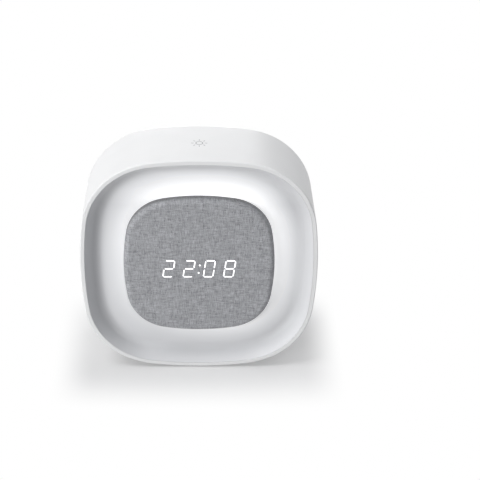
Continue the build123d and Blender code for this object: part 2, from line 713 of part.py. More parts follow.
def touch_lead():
    """Thin lead from the touch pad down to the main board."""
    pad_height = BODY_SIZE / 2 - SHELL_WALL - PAD_THICK - SOLDER_GAP
    return lead(
        TOUCH_LEAD_SIDE,
        TOUCH_LEAD_WIDTH,
        (pad_height, LEAD_SPACE_MIDDLE),
        (-TOUCH_PLUG_DROP, LEAD_SPACE_MIDDLE),
        (-TOUCH_PLUG_DROP, CONNECTOR_FRONT),
    )


def battery_lead():
    """Short lead from the cell to the back of the main board."""
    return lead(
        BATTERY_LEAD_SIDE,
        BATTERY_LEAD_WIDTH,
        (BATTERY_RISE - BATTERY_HEIGHT / 2, BATTERY_LEAD_DEPTH),
        (-BATTERY_PLUG_DROP, BATTERY_LEAD_DEPTH),
        (-BATTERY_PLUG_DROP, BOARD_BACK),
    )


def board_connectors():
    """Plug housings on the front of the main board, one for each lead that ends there."""
    plugs = (
        (0, RIBBON_PLUG_DROP, RIBBON_WIDTH),
        (LIGHT_LEAD_SIDE, LIGHT_PLUG_DROP, LIGHT_LEAD_WIDTH),
        (TOUCH_LEAD_SIDE, TOUCH_PLUG_DROP, TOUCH_LEAD_WIDTH),
    )
    return [
        block((x, -drop), width + 2 * CONNECTOR_MARGIN, CONNECTOR_LENGTH, CONNECTOR_FRONT, BOARD_FRONT)
        for x, drop, width in plugs
    ]


def small_screws(places, seat, tip):
    """Set of equal small screws."""
    return [screw(place, SMALL_SHANK, SMALL_HEAD, SMALL_HEAD_HEIGHT, seat, tip) for place in places]


def make_nodes():
    """Every piece of the clock by name, face up."""
    nodes = {
        "outer_shell": outer_shell(),
        "reflector_dish": DISH,
        "rear_cover": COVER,
        "foot_pads": foot_pads(),
        "fabric_cover": fabric_cover(),
        "display_cap": display_cap(),
        "display_carrier": display_carrier(),
        "segment_frame": segment_frame(),
        "digit_segments": digit_segments(),
        "display_board": block(
            DISPLAY_PLACE, DISPLAY_BOARD_WIDTH, DISPLAY_BOARD_HEIGHT, FRAME_BACK, DISPLAY_BOARD_BACK
        ),
        "light_board": light_board(),
        "ring_leds": ring_leds(),
        "main_board": main_board(),
        "control_chip": block(
            (CHIP_MARGIN - BOARD_WIDTH / 2, -CHIP_DROP),
            CHIP_SIZE,
            CHIP_SIZE,
            BOARD_FRONT - CHIP_HEIGHT,
            BOARD_FRONT,
        ),
        "board_connectors": board_connectors(),
        "switch_bodies": switch_bodies(),
        "usb_socket": usb_socket(),
        "buzzer": buzzer(),
        "battery_cell": battery_cell(),
        "battery_tape": block(
            BATTERY_PLACE,
            BATTERY_WIDTH - 2 * TAPE_MARGIN,
            BATTERY_HEIGHT - 2 * TAPE_MARGIN,
            COVER_FRONT - TAPE_THICK,
            COVER_FRONT,
        ),
        "touch_pad": touch_pad(),
        "display_ribbon": display_ribbon(),
        "light_lead": light_lead(),
        "touch_lead": touch_lead(),
        "battery_lead": battery_lead(),
        "screw_plugs": rods(COVER_SCREWS, PLUG_RADIUS, PLUG_SEAT, COVER_BACK - PLUG_SINK),
        "cover_screws": [
            screw(place, COVER_SHANK, COVER_HEAD, COVER_HEAD_HEIGHT, HEAD_SEAT, BOSS_END - COVER_SCREW_BITE)
            for place in COVER_SCREWS
        ],
        "dish_screws": small_screws(DISH_SCREWS, WEB_BACK, WEB_DEPTH - DISH_SCREW_BITE),
        "light_screws": small_screws(LIGHT_SCREWS, LIGHT_BOARD_BACK, WEB_DEPTH),
        "carrier_screws": small_screws(CARRIER_SCREWS, CARRIER_BACK, SKIRT_END - CARRIER_SCREW_BITE),
        "board_screws": small_screws(BOARD_SCREWS, BOARD_FRONT, BOARD_BACK + POST_SCREW_BITE),
    }
    for name, place in BUTTON_PLACES.items():
        nodes[f"{name}_button"] = push_button(place)
        nodes[f"{name}_stem"] = rod(place, STEM_RADIUS, SWITCH_BACK - STEM_SINK, STEM_BACK)
    return nodes


def solids_of(piece):
    """The separate solids of a piece or of a set of pieces."""
    if isinstance(piece, list):
        return [solid for member in piece for solid in member.solids()]
    return list(piece.solids())


os.makedirs("parts", exist_ok=True)
for node, piece in make_nodes().items():
    export_step(STANDING * Compound(children=solids_of(piece)), f"parts/{node}.step")
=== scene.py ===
"""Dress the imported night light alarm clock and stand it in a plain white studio."""

import json
import logging
import math
from dataclasses import dataclass, field
from enum import Enum
from typing import Any, Mapping, Sequence, Union

import bmesh
import bpy
from mathutils import Matrix, Vector

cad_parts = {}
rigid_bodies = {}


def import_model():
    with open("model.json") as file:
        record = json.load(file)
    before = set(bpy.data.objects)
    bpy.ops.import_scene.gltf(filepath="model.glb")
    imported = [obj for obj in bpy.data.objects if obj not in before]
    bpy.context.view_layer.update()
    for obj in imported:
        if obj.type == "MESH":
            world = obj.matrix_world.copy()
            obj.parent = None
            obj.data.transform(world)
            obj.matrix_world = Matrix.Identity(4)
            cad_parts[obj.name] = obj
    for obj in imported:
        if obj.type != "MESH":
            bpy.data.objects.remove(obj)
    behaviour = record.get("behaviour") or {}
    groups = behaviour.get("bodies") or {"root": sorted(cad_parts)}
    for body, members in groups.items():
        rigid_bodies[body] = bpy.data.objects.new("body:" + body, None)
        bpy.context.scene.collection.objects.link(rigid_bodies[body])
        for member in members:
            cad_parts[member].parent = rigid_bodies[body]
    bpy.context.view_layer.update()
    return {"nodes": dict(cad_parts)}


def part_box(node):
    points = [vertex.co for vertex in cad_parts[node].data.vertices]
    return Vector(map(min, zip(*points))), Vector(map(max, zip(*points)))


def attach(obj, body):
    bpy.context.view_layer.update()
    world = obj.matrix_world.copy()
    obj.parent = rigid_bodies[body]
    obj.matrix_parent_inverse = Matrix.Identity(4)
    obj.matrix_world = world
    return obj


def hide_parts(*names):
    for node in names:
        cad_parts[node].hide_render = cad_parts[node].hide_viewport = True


for leftover in list(bpy.data.objects):
    bpy.data.objects.remove(leftover)
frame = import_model()

LOG = logging.getLogger("night_light_clock")
MM = 0.001
CASE_BODY = "case"
NOISE_MIDDLE = 0.5
MIX_SHARE, MIX_FIRST, MIX_SECOND, MIX_RESULT = 0, 6, 7, 2
Key = Union[str, int]
Colour = tuple[float, float, float, float]
WHITE: Colour = (1.0, 1.0, 1.0, 1.0)
BLACK: Colour = (0.0, 0.0, 0.0, 1.0)


def grey(level: float) -> Colour:
    """Neutral colour of one level."""
    return (level, level, level, 1.0)


class Segment(Enum):
    """The strokes of one digit, named by their places."""

    TOP = "top"
    MIDDLE = "middle"
    BOTTOM = "bottom"
    UPPER_LEFT = "upper_left"
    UPPER_RIGHT = "upper_right"
    LOWER_LEFT = "lower_left"
    LOWER_RIGHT = "lower_right"


class Wire:
    """One output of a shader node, whose arithmetic adds Math nodes to its graph."""

    def __init__(self, graph: "Graph", socket: bpy.types.NodeSocket) -> None:
        """Keep the graph and the socket that the wire starts from."""
        self.graph = graph
        self.socket = socket

    def other(self, output: Key) -> "Wire":
        """Another output of the same node."""
        return Wire(self.graph, self.socket.node.outputs[output])

    def __add__(self, value: "Value") -> "Wire":
        """Sum with a value."""
        return self.graph.math("ADD", self, value)

    def __radd__(self, value: "Value") -> "Wire":
        """Sum with a value on the left."""
        return self.graph.math("ADD", value, self)

    def __sub__(self, value: "Value") -> "Wire":
        """Difference from a value."""
        return self.graph.math("SUBTRACT", self, value)

    def __rsub__(self, value: "Value") -> "Wire":
        """Difference of a value on the left."""
        return self.graph.math("SUBTRACT", value, self)

    def __mul__(self, value: "Value") -> "Wire":
        """Product with a value."""
        return self.graph.math("MULTIPLY", self, value)

    def __rmul__(self, value: "Value") -> "Wire":
        """Product with a value on the left."""
        return self.graph.math("MULTIPLY", value, self)

    def __truediv__(self, value: "Value") -> "Wire":
        """Quotient by a value."""
        return self.graph.math("DIVIDE", self, value)

    def __mod__(self, value: "Value") -> "Wire":
        """Remainder of a division."""
        return self.graph.math("MODULO", self, value)

    def __pow__(self, value: "Value") -> "Wire":
        """Power of a value."""
        return self.graph.math("POWER", self, value)

    def __abs__(self) -> "Wire":
        """Value without its sign."""
        return self.graph.math("ABSOLUTE", self)

    def floor(self) -> "Wire":
        """Whole number below the value."""
        return self.graph.math("FLOOR", self)

    def clamped(self) -> "Wire":
        """Value held between nought and one."""
        return self.graph.node("ShaderNodeClamp", {}, {"Value": self})

    def eased(self, start: float, end: float) -> "Wire":
        """Smooth rise from nought where the value is at start to one where it is at end."""
        share = ((self - start) / (end - start)).clamped()
        return share * share * (3.0 - 2.0 * share)


Value = Union[Wire, float]


class Graph:
    """Node tree of one material, lamp or world."""

    def __init__(self, tree: bpy.types.NodeTree) -> None:
        """Start from an emptied tree."""
        self.tree = tree
        self.tree.nodes.clear()

    def make(self, kind: str, settings: Mapping[str, Any], sockets: Mapping[Key, Any]) -> bpy.types.Node:
        """Add one node.

        Args:
            kind: Type name of the node.
            settings: Properties that are set first, such as an operation.
            sockets: Values or wires of its inputs, by name or number.

        Returns:
            The node.
        """
        made = self.tree.nodes.new(kind)
        for name, value in settings.items():
            setattr(made, name, value)
        for key, value in sockets.items():
            if isinstance(value, Wire):
                self.tree.links.new(value.socket, made.inputs[key])
            else:
                made.inputs[key].default_value = value
        return made

    def node(
        self, kind: str, settings: Mapping[str, Any], sockets: Mapping[Key, Any], output: Key = 0
    ) -> Wire:
        """Add one node and take one of its outputs, by name or number."""
        return Wire(self, self.make(kind, settings, sockets).outputs[output])

    def end(self, kind: str, surface: Wire) -> None:
        """End the graph in its output node."""
        self.make(kind, {}, {"Surface": surface})

    def math(self, operation: str, *values: Value) -> Wire:
        """Add a Math node on one or two values."""
        return self.node("ShaderNodeMath", {"operation": operation}, dict(enumerate(values)))

    def mix(self, share: Value, first: Any, second: Any) -> Wire:
        """Colour between two colours."""
        sockets = {MIX_SHARE: share, MIX_FIRST: first, MIX_SECOND: second}
        return self.node("ShaderNodeMix", {"data_type": "RGBA"}, sockets, MIX_RESULT)

    def blend(self, share: Value, first: Wire, second: Wire) -> Wire:
        """Shader between two shaders."""
        return self.node("ShaderNodeMixShader", {}, {0: share, 1: first, 2: second})

    def place(self) -> Wire:
        """Object coordinates."""
        return self.node("ShaderNodeTexCoord", {}, {}, "Object")

    def axes(self, vector: Wire) -> tuple[Wire, Wire, Wire]:
        """The three parts of a vector."""
        first = self.node("ShaderNodeSeparateXYZ", {}, {0: vector}, "X")
        return first, first.other("Y"), first.other("Z")

    def vector(self, x: Value, y: Value, z: Value = 0.0) -> Wire:
        """Vector from its three parts."""
        return self.node("ShaderNodeCombineXYZ", {}, {0: x, 1: y, 2: z})

    def noise(self, vector: Wire, size: float, detail: float = 2.0) -> Wire:
        """Soft noise whose lumps have about a given size."""
        return self.node("ShaderNodeTexNoise", {}, {"Vector": vector, "Scale": 1 / size, "Detail": detail}, "Fac")

    def bump(self, height: Wire, strength: float, distance: float) -> Wire:
        """Normal raised by a height between nought and one."""
        sockets = {"Strength": strength, "Distance": distance, "Height": height}
        return self.node("ShaderNodeBump", {}, sockets, "Normal")

    def seen_directly(self) -> Wire:
        """One for what the camera sees straight, in a reflection or through glass, and nought for lighting."""
        camera = self.node("ShaderNodeLightPath", {}, {}, "Is Camera Ray")
        return (camera + camera.other("Is Glossy Ray") + camera.other("Is Transmission Ray")).clamped()


@dataclass(frozen=True)
class Finish:
    """Moulded surface with a fine grain and a faint drift of tone."""

    name: str
    colour: Colour
    roughness: float = 0.4
    drift: float = 0.02
    drift_size: float = 14 * MM
    grain: float = 0.25
    grain_size: float = 0.35 * MM
    grain_depth: float = 0.02 * MM
    metallic: float = 0.0
    shine: float = 0.3
    grain_detail: float = 3.0
    rough_scale: float = 4.0

    def shade(self, scale: float) -> Colour:
        """The finish's colour made lighter or darker."""
        red, green, blue, alpha = self.colour
        return (red * scale, green * scale, blue * scale, alpha)

    def sockets(self, graph: Graph) -> dict[str, Any]:
        """Values and wires of the surface shader.

        Args:
            graph: Node tree that takes the nodes.

        Returns:
            The shader's inputs by name.
        """
        place = graph.place()
        cloud = graph.noise(place, self.drift_size)
        grain = graph.noise(place, self.grain_size, self.grain_detail)
        spread = self.drift * self.rough_scale
        return {
            "Base Color": graph.mix(cloud, self.shade(1 - self.drift), self.shade(1 + self.drift)),
            "Roughness": self.roughness + (cloud - NOISE_MIDDLE) * spread + (grain - NOISE_MIDDLE) * spread,
            "Metallic": self.metallic,
            "Specular IOR Level": self.shine,
            "Normal": graph.bump(grain, self.grain, self.grain_depth),
        }

    def material(self) -> bpy.types.Material:
        """Make the material once, and find it again later.

        Returns:
            The finish as a material.
        """
        made = bpy.data.materials.get(f"finish_{self.name}")
        if made is None:
            made = bpy.data.materials.new(f"finish_{self.name}")
            made.use_nodes = True
            graph = Graph(made.node_tree)
            surface = graph.node("ShaderNodeBsdfPrincipled", {}, self.sockets(graph))
            graph.end("ShaderNodeOutputMaterial", surface)
        return made


@dataclass(frozen=True)
class LampDishFinish(Finish):
    """Milky diffuser that the night light brightens round the display, with painted light added above the display
    and to its right, and painted shade along its valley.
    """

    glow: float = 1.0
    glow_colour: Colour = WHITE
    centre_height: float = 0.0
    roundness: float = 2.6
    inner: float = 35.7 * MM
    outer: float = 49.2 * MM
    falloff: float = 1.25
    even_share: float = 0.46
    # Painted light on the ring: a lean to the right, a lean upward and a crown above the display, beyond the night
    # light's even glow.
    painted_side_light: float = 0.18
    painted_top_light: float = 0.15
    painted_crown_light: float = 0.23
    crown_outer: float = 55.0 * MM
    crown_start: float = 30.0 * MM
    crown_end: float = 38.0 * MM
    # Painted shade in the dish's valley: where it lies, how wide it is, how its outline rounds, how dark it gets and
    # how it ends towards the bottom.
    groove_reach: float = 49.4 * MM
    groove_half: float = 4.2 * MM
    groove_roundness: float = 3.0
    painted_groove_shade: float = 0.11
    groove_end: float = 8.0

    @staticmethod
    def rounded_reach(across: Wire, up: Wire, roundness: float) -> Wire:
        """Half width of the rounded square that passes through a point."""
        return (abs(across) ** roundness + abs(up) ** roundness) ** (1 / roundness)

    def sockets(self, graph: Graph) -> dict[str, Any]:
        """Values and wires of the surface shader, with the light let through.

        Args:
            graph: Node tree that takes the nodes.

        Returns:
            The shader's inputs by name.
        """
        made = super().sockets(graph)
        across, _, height = graph.axes(graph.place())
        up = height - self.centre_height
        # Painted shade: the base colour darkens along the valley between the wall and the ring, standing in for the
        # shade that falls there, and is left out at the bottom.
        outline = self.rounded_reach(across, up, self.groove_roundness)
        below = (up / -self.groove_reach).clamped() ** self.groove_end
        painted_shade_share = abs(outline - self.groove_reach).eased(self.groove_half, 0.0) * (1.0 - below)
        made["Base Color"] = graph.mix(painted_shade_share, made["Base Color"], self.shade(1 - self.painted_groove_shade))
        reach = self.rounded_reach(across, up, self.roundness)
        near = ((self.outer - reach) / (self.outer - self.inner)).clamped() ** self.falloff
        # The even share is the night light's own glow; the lean to the right and upward, and the crown above the
        # display, are painted light on the ring.
        ring = near * (self.even_share + (across * self.painted_side_light + up * self.painted_top_light) / self.inner)
        above = ((up - self.crown_start) / (self.crown_end - self.crown_start)).clamped()
        painted_crown = ((self.crown_outer - reach) / (self.crown_outer - self.inner)).clamped() * above * self.painted_crown_light
        made["Emission Color"] = graph.mix((ring + painted_crown).clamped(), BLACK, self.glow_colour)
        made["Emission Strength"] = self.glow
        return made


@dataclass(frozen=True)
class WovenFinish(Finish):
    """Plain weave of mottled yarns, laid out on the flat cut of the cloth, with painted shade darkening it towards
    its turned edge.
    """

    yarns: float = 226.0
    contrast: float = 0.6
    slub: float = 0.1
    yarn_step: float = 7.31
    yarn_size: float = 1.0
    yarn_detail: float = 3.0
    weft_layer: float = 5.0
    tone_gain: float = 2.2
    fibre_detail: float = 4.0
    fibre_spread: float = 0.1
    sheen: float = 0.15
    sheen_roughness: float = 0.5
    layer: str = "flat"
    face: float = 0.0
    # Painted shade on the cloth's turned edge: how deep behind the face it reaches, how dark it gets and how fast it
    # sets in.
    painted_shade_depth: float = 2.8 * MM
    painted_edge_shade: float = 0.45
    painted_shade_power: float = 2.0

    def sockets(self, graph: Graph) -> dict[str, Any]:
        """Values and wires of the surface shader, yarn by yarn.

        Args:
            graph: Node tree that takes the nodes.

        Returns:
            The shader's inputs by name.
        """
        flat = graph.node("ShaderNodeUVMap", {"uv_map": self.layer}, {}, "UV")
        across, along, _ = graph.axes(flat)
        column = (across * self.yarns).floor()
        row = (along * self.yarns).floor()
        over = (column + row) % 2.0
        warp_place = graph.vector(column * self.yarn_step, along * self.yarns * self.slub)
        weft_place = graph.vector(across * self.yarns * self.slub, row * self.yarn_step, self.weft_layer)
        warp = graph.noise(warp_place, self.yarn_size, self.yarn_detail)
        weft = graph.noise(weft_place, self.yarn_size, self.yarn_detail)
        tone = (((warp - weft) * over + weft - NOISE_MIDDLE) * self.tone_gain + NOISE_MIDDLE).clamped()
        fibre = graph.noise(graph.place(), self.grain_size, self.fibre_detail)
        woven = graph.mix(tone, self.shade(1 - self.contrast), self.shade(1 + self.contrast))
        # Painted shade: the weave turns darker with depth behind the cloth's face, standing in for the shadow on the
        # cap's rounded edge.
        turned = graph.mix(tone, *(self.shade((1 + side * self.contrast) * self.painted_edge_shade) for side in (-1, 1)))
        edge = ((graph.axes(graph.place())[1] - self.face) / self.painted_shade_depth).clamped() ** self.painted_shade_power
        return {
            "Base Color": graph.mix(edge, woven, turned),
            "Roughness": self.roughness + (fibre - NOISE_MIDDLE) * self.fibre_spread,
            "Normal": graph.bump(fibre, self.grain, self.grain_depth),
            "Sheen Weight": self.sheen,
            "Sheen Roughness": self.sheen_roughness,
        }


@dataclass(frozen=True)
class BrushedFinish(Finish):
    """Metal drawn along one axis, with fine streaks."""

    streak: float = 24.0
    streak_spread: float = 0.2
    metallic: float = 1.0

    def sockets(self, graph: Graph) -> dict[str, Any]:
        """Values and wires of the surface shader, streaked along the depth.

        Args:
            graph: Node tree that takes the nodes.

        Returns:
            The shader's inputs by name.
        """
        across, depth, up = graph.axes(graph.place())
        drawn = graph.vector(across, depth / self.streak, up)
        streaks = graph.noise(drawn, self.grain_size, self.grain_detail)
        return {
            "Base Color": graph.mix(streaks, self.shade(1 - self.drift), self.shade(1 + self.drift)),
            "Roughness": self.roughness + (streaks - NOISE_MIDDLE) * self.streak_spread,
            "Metallic": self.metallic,
            "Normal": graph.bump(streaks, self.grain, self.grain_depth),
        }


@dataclass(frozen=True)
class BoardFinish(Finish):
    """Lacquered board with copper runs under the lacquer."""

    run_pitch: float = 1.27 * MM
    run_colour: Colour = (0.03, 0.16, 0.07, 1.0)
    run_edge: float = 0.18
    run_sharpness: float = 12.0
    wander_size: float = 6 * MM
    wander_reach: float = 4 * MM

    def sockets(self, graph: Graph) -> dict[str, Any]:
        """Values and wires of the surface shader, with the runs showing through.

        Args:
            graph: Node tree that takes the nodes.

        Returns:
            The shader's inputs by name.
        """
        made = super().sockets(graph)
        across, _, up = graph.axes(graph.place())
        wander = graph.noise(graph.place(), self.wander_size) * self.wander_reach
        comb = abs(((across + up + wander) / self.run_pitch) % 1.0 - 0.5)
        runs = ((comb - self.run_edge) * self.run_sharpness).clamped()
        made["Base Color"] = graph.mix(runs, self.run_colour, self.colour)
        return made


@dataclass(frozen=True)
class LitFinish(Finish):
    """Lit plastic that shines by itself."""

    strength: float = 1.0
    dimmest: float = 0.97

    def sockets(self, graph: Graph) -> dict[str, Any]:
        """Values and wires of the surface shader, with its own light.

        Args:
            graph: Node tree that takes the nodes.

        Returns:
            The shader's inputs by name.
        """
        made = super().sockets(graph)
        cloud = graph.noise(graph.place(), self.drift_size)
        made["Emission Color"] = graph.mix(cloud, self.shade(self.dimmest), self.colour)
        made["Emission Strength"] = self.strength
        return made


class Palette:
    """Finishes of the clock, by the record's slot names."""

    def __init__(self, centre_height: float, cloth_face: float) -> None:
        """Name every finish.

        Args:
            centre_height: Height of the display's middle, which the lamp's glow surrounds.
            cloth_face: Depth of the cloth's face, from which painted shade darkens its turned edge.
        """
        self.ink = Finish("grey_ink", (0.47, 0.475, 0.48, 1.0), 0.55, 0.04, 2 * MM, 0.15)
        self.gold = BrushedFinish("contact_gold", (0.83, 0.62, 0.28, 1.0), 0.25, 0.06, grain_size=0.2 * MM)
        self.lit = LitFinish("lit_segment", WHITE, 0.5, strength=1.15)
        self.cloth = WovenFinish(
            "woven_cloth", (0.38, 0.385, 0.402, 1.0), 0.9, 0.05, 3 * MM, 0.3, 0.12 * MM, face=cloth_face
        )
        self.slots: dict[str, Finish] = {
            "shell_white": Finish("shell_white", (0.888, 0.89, 0.889, 1.0), 0.38),
            "diffuser": LampDishFinish(
                "lamp_dish", (0.73, 0.736, 0.75, 1.0), 0.45, 0.01, centre_height=centre_height
            ),
            "key_white": Finish("key_white", (0.868, 0.872, 0.874, 1.0), 0.33, 0.015, 4 * MM, 0.15),
            "cloth": self.cloth,
            "foot_rubber": Finish("foot_rubber", (0.62, 0.62, 0.61, 1.0), 0.8, 0.05, 3 * MM, 0.4, 0.2 * MM),
            "smoke_plastic": Finish("smoke_plastic", (0.07, 0.07, 0.075, 1.0), 0.25, 0.05),
            "black_plastic": Finish("black_plastic", (0.022, 0.022, 0.024, 1.0), 0.5, 0.1, 5 * MM, 0.4),
            "segment_glow": LitFinish("segment_glow", (0.95, 0.96, 1.0, 1.0), 0.4, strength=0.8),
            "board_green": BoardFinish("board_green", (0.012, 0.09, 0.035, 1.0), 0.3, 0.1),
            "board_white": BoardFinish(
                "board_white", (0.8, 0.81, 0.8, 1.0), 0.35, 0.03, run_colour=(0.7, 0.71, 0.7, 1.0)
            ),
            "lamp_yellow": Finish("lamp_yellow", (0.85, 0.66, 0.12, 1.0), 0.35, 0.06, 1 * MM),
            "connector_ivory": Finish("connector_ivory", (0.76, 0.71, 0.58, 1.0), 0.45, 0.04, 3 * MM),
            "bright_steel": BrushedFinish("bright_steel", (0.34, 0.34, 0.345, 1.0), 0.36, 0.05, grain_size=0.3 * MM),
            "cell_foil": BrushedFinish("cell_foil", (0.55, 0.56, 0.58, 1.0), 0.42, 0.04, grain_size=1.5 * MM),
            "foam_tape": Finish("foam_tape", (0.05, 0.05, 0.05, 1.0), 0.95, 0.2, 1 * MM, 0.8, 0.4 * MM, 0.1 * MM),
            "copper_foil": BrushedFinish("copper_foil", (0.72, 0.38, 0.24, 1.0), 0.35, 0.06, grain_size=0.5 * MM),
            "ribbon_grey": Finish("ribbon_grey", (0.42, 0.42, 0.43, 1.0), 0.5, 0.06, 2 * MM),
            "lead_red": Finish("lead_red", (0.45, 0.03, 0.025, 1.0), 0.45, 0.08, 3 * MM),
        }


def add_piece(name: str, shape: bmesh.types.BMesh, finish: Finish) -> bpy.types.Object:
    """Turn a finished bmesh into a piece that rides on the case.

    Args:
        name: Name of the piece.
        shape: Mesh in its final place, which is freed.
        finish: Finish of the whole piece.

    Returns:
        The piece.
    """
    mesh = bpy.data.meshes.new(name)
    shape.to_mesh(mesh)
    shape.free()
    mesh.materials.append(finish.material())
    piece = bpy.data.objects.new(name, mesh)
    bpy.context.scene.collection.objects.link(piece)
    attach(piece, CASE_BODY)
    LOG.info("%s: %d faces on %s", name, len(mesh.polygons), CASE_BODY)
    return piece


def box_size(node: str) -> tuple[Vector, Vector]:
    """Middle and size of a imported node's box."""
    low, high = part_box(node)
    return (low + high) / 2, high - low


@dataclass
class Squircle:
    """Outline of four shallow side arcs joined by tangent corner arcs."""

    half: float
    side_radius: float
    corner_radius: float

    def __post_init__(self) -> None:
        """Work out the centres of the arcs and the turn at which they meet."""
        self.side_centre = self.half - self.side_radius
        reach = self.side_radius - self.corner_radius
        self.corner_centre = (self.side_centre + math.sqrt(2 * reach**2 - self.side_centre**2)) / 2
        self.turn = math.atan2(self.corner_centre, self.corner_centre - self.side_centre)

    def inset(self, across: float, up: float) -> tuple[float, Vector]:
        """Where a point lies against the outline.

        Args:
            across: Place of the point along the first axis.
            up: Place of the point along the second axis.

        Returns:
            The distance inside the outline and the outward direction there.
        """
        long, short = max(abs(across), abs(up)), min(abs(across), abs(up))
        centre, radius = Vector((self.side_centre, 0)), self.side_radius
        if math.atan2(short, long - self.side_centre) > self.turn:
            centre, radius = Vector((self.corner_centre, self.corner_centre)), self.corner_radius
        arm = Vector((long, short)) - centre
        outward = arm.normalized()
        if abs(up) > abs(across):
            outward = outward.yx
        outward = Vector((math.copysign(outward.x, across), math.copysign(outward.y, up)))
        return radius - arm.length, outward


@dataclass
class ClothCover:
    """Grey cloth stretched over the display cap and turned down its sides."""

    side_radius: float = 101.0 * MM
    corner_radius: float = 21.3 * MM
    edge_round: float = 2.4 * MM
    yarn_pitch: float = 0.5 * MM
    samples: int = 2
    relief: float = 0.05 * MM
    ridge_share: float = 0.45
    hem_turn: float = 0.5 * MM
    layer: str = "flat"

    def __post_init__(self) -> None:
        """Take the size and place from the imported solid."""
        low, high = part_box("fabric_cover")
        self.centre = (low + high) / 2
        self.face = low.y
        self.drop = high.y - low.y
        self.form = Squircle((high.x - low.x) / 2, self.side_radius, self.corner_radius)
        self.quarter = self.edge_round * math.pi / 2
        self.overhang = self.quarter + self.drop - 2 * self.edge_round
        self.flat_half = self.form.half + self.overhang

    def yarn_height(self, across: float, up: float) -> float:
        """Height of the weave at a point of the flat cloth.

        Args:
            across: Place on the flat cloth, from its middle.
            up: Height on the flat cloth, from its middle.

        Returns:
            Nought in a hole of the weave, rising to one on top of a yarn.
        """
        columns, rows = across / self.yarn_pitch, up / self.yarn_pitch
        over = (math.floor(columns) + math.floor(rows)) % 2
        crown_across = math.sin(math.pi * (columns % 1.0))
        crown_up = math.sin(math.pi * (rows % 1.0))
        ridge, slope = (crown_across, crown_up) if over else (crown_up, crown_across)
        return ridge * (self.ridge_share + (1 - self.ridge_share) * slope)

    def wrapped(self, across: float, up: float) -> Vector:
        """Where a point of the flat cloth lies on the cap.

        Args:
            across: Place on the flat cloth, from its middle.
            up: Height on the flat cloth, from its middle.

        Returns:
            The point on the outside of the cover.
        """
        inset, outward = self.form.inset(across, up)
        run = max(0.0, self.edge_round - inset)
        angle = min(run, self.quarter) / self.edge_round
        drawn_in = self.edge_round * (1 - math.sin(angle)) if run > 0 else inset
        depth = self.edge_round * (1 - math.cos(angle)) + max(0.0, run - self.quarter)
        shift = outward * (inset - drawn_in)
        sink = (1 - self.yarn_height(across, up)) * self.relief
        lean = outward * math.sin(angle) * sink
        return Vector((
            self.centre.x + across + shift.x - lean.x,
            self.face + depth + math.cos(angle) * sink,
            self.centre.z + up + shift.y - lean.y,
        ))

    def build(self, finish: Finish) -> bpy.types.Object:
        """Lay out the weave flat, trim it, wrap it over the cap and turn its hem in.

        Args:
            finish: Woven finish, which follows the flat layout.

        Returns:
            The cloth piece.
        """
        step = self.yarn_pitch / self.samples
        count = 2 * math.ceil(self.flat_half / step)
        half = count / 2 * step
        shape = bmesh.new()
        bmesh.ops.create_grid(shape, x_segments=count, y_segments=count, size=half)
        outside = [v for v in shape.verts if self.form.inset(v.co.x, v.co.y)[0] < -self.overhang - step / 2]
        bmesh.ops.delete(shape, geom=outside, context="VERTS")
        loose = [v for v in shape.verts if len(v.link_faces) < 2]
        bmesh.ops.delete(shape, geom=loose, context="VERTS")
        for vertex in (v for v in shape.verts if v.is_boundary):
            inset, outward = self.form.inset(vertex.co.x, vertex.co.y)
            vertex.co.xy += outward * (inset + self.overhang)
        layer = shape.loops.layers.uv.new(self.layer)
        for face in shape.faces:
            for loop in face.loops:
                loop[layer].uv = loop.vert.co.xy / (2 * half) + Vector((0.5, 0.5))
        for vertex in shape.verts:
            vertex.co = self.wrapped(vertex.co.x, vertex.co.y)
        self._turn_hem(shape)
        bmesh.ops.recalc_face_normals(shape, faces=shape.faces)
        for face in shape.faces:
            face.smooth = True
        piece = add_piece("cloth_cover", shape, finish)
        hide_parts("fabric_cover")
        cut = 2 * self.flat_half
        self.cut_area()
        return piece

    def _turn_hem(self, shape: bmesh.types.BMesh) -> None:
        """Fold the free edge of the cloth in towards the cap.

        Args:
            shape: Wrapped cloth, which gains the hem.
        """
        edges = [e for e in shape.edges if e.is_boundary]
        made = bmesh.ops.extrude_edge_only(shape, edges=edges)["geom"]
        for vertex in (g for g in made if isinstance(g, bmesh.types.BMVert)):
            away = Vector((vertex.co.x - self.centre.x, vertex.co.z - self.centre.z))
            inward = self.form.inset(away.x, away.y)[1] * -self.hem_turn
            vertex.co += Vector((inward.x, 0, inward.y))

    def cut_area(self) -> float:
        """Work out the flat cut inside its squircle outline.

        Returns:
            The area of the cut.
        """
        form = Squircle(
            self.flat_half, self.side_radius + self.overhang, self.corner_radius + self.overhang
        )
        side = form.side_radius**2 * form.turn
        corner = form.corner_radius**2 * (math.pi / 4 - form.turn)
        kite = form.side_centre * form.corner_centre
        return 4 * (side + corner + kite)


